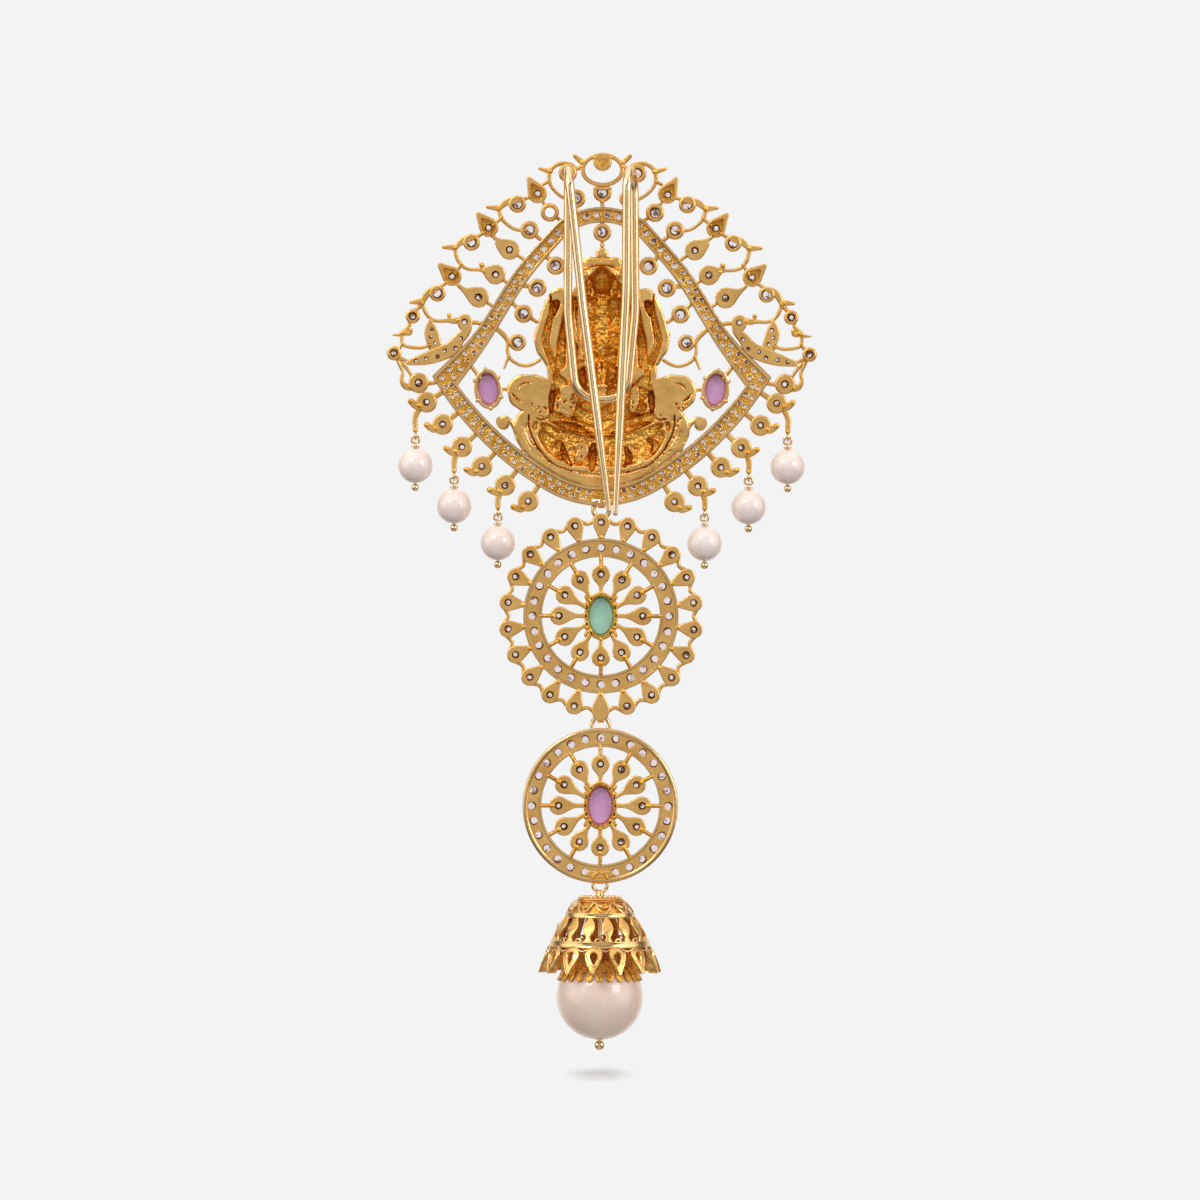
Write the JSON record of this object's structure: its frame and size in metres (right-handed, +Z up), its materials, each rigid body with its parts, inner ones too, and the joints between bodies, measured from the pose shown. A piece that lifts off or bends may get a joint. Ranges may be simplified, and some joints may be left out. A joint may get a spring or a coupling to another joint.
{
  "type": "hair bun brooch",
  "caption": "Pierced crest with a seated deity in a gemmed band, small pearl drops, hinged round medallions, a bell and a large pearl, on a two-pronged hair fork.",
  "frame": {"origin": "midway across the hair gap of the fork, level with the centres of its two top bends", "axes": "+X across the brooch, +Y out of the display face, away from the hair, +Z up as it is worn"},
  "size_m": [0.0616, 0.0174, 0.1287],
  "materials": {
    "gold": "satin cast gold, brighter on raised edges",
    "polished_gold": "polished gold wire",
    "pearl": "lustrous nacre",
    "clear_stone": "faceted, colourless",
    "lilac_stone": "faceted, lilac",
    "green_stone": "faceted, sea green",
    "rose_stone": "faceted, rose"
  },
  "bodies": {
    "crest": {"crest_plaque": "gold", "crest_figure": "gold", "hair_fork": "polished_gold", "crest_stones": "clear_stone", "crest_oval_left": "lilac_stone", "crest_oval_right": "lilac_stone", "pearl_left_1": "pearl", "pearl_left_2": "pearl", "pearl_left_3": "pearl", "pearl_right_1": "pearl", "pearl_right_2": "pearl", "pearl_right_3": "pearl", "pearl_pin_left_1": "gold", "pearl_pin_left_2": "gold", "pearl_pin_left_3": "gold", "pearl_pin_right_1": "gold", "pearl_pin_right_2": "gold", "pearl_pin_right_3": "gold"},
    "upper_medallion": {"medallion_1": "gold", "medallion_1_stones": "clear_stone", "medallion_1_oval": "green_stone"},
    "lower_medallion": {"medallion_2": "gold", "medallion_2_stones": "clear_stone", "medallion_2_oval": "lilac_stone"},
    "bell_body": {"bell": "gold", "bell_stones": "rose_stone"},
    "pearl_drop": {"big_pearl": "pearl", "big_pearl_cap": "gold", "big_pearl_pin": "gold"}
  },
  "joints": [
    {"name": "crest_to_upper_medallion", "type": "hinge", "parent": "crest", "child": "upper_medallion", "pos_m": [0, 0.005, -0.0443], "axis": [1, 0, 0], "range_deg": [-30, 30]},
    {"name": "upper_to_lower_medallion", "type": "hinge", "parent": "upper_medallion", "child": "lower_medallion", "pos_m": [0, 0.005, -0.0751], "axis": [1, 0, 0], "range_deg": [-30, 30]},
    {"name": "lower_medallion_to_bell", "type": "hinge", "parent": "lower_medallion", "child": "bell_body", "pos_m": [0, 0.005, -0.09824], "axis": [1, 0, 0], "range_deg": [-30, 30]},
    {"name": "bell_to_pearl", "type": "hinge", "parent": "bell_body", "child": "pearl_drop", "pos_m": [0, 0.005, -0.10297], "axis": [1, 0, 0], "range_deg": [-8, 8]}
  ]
}
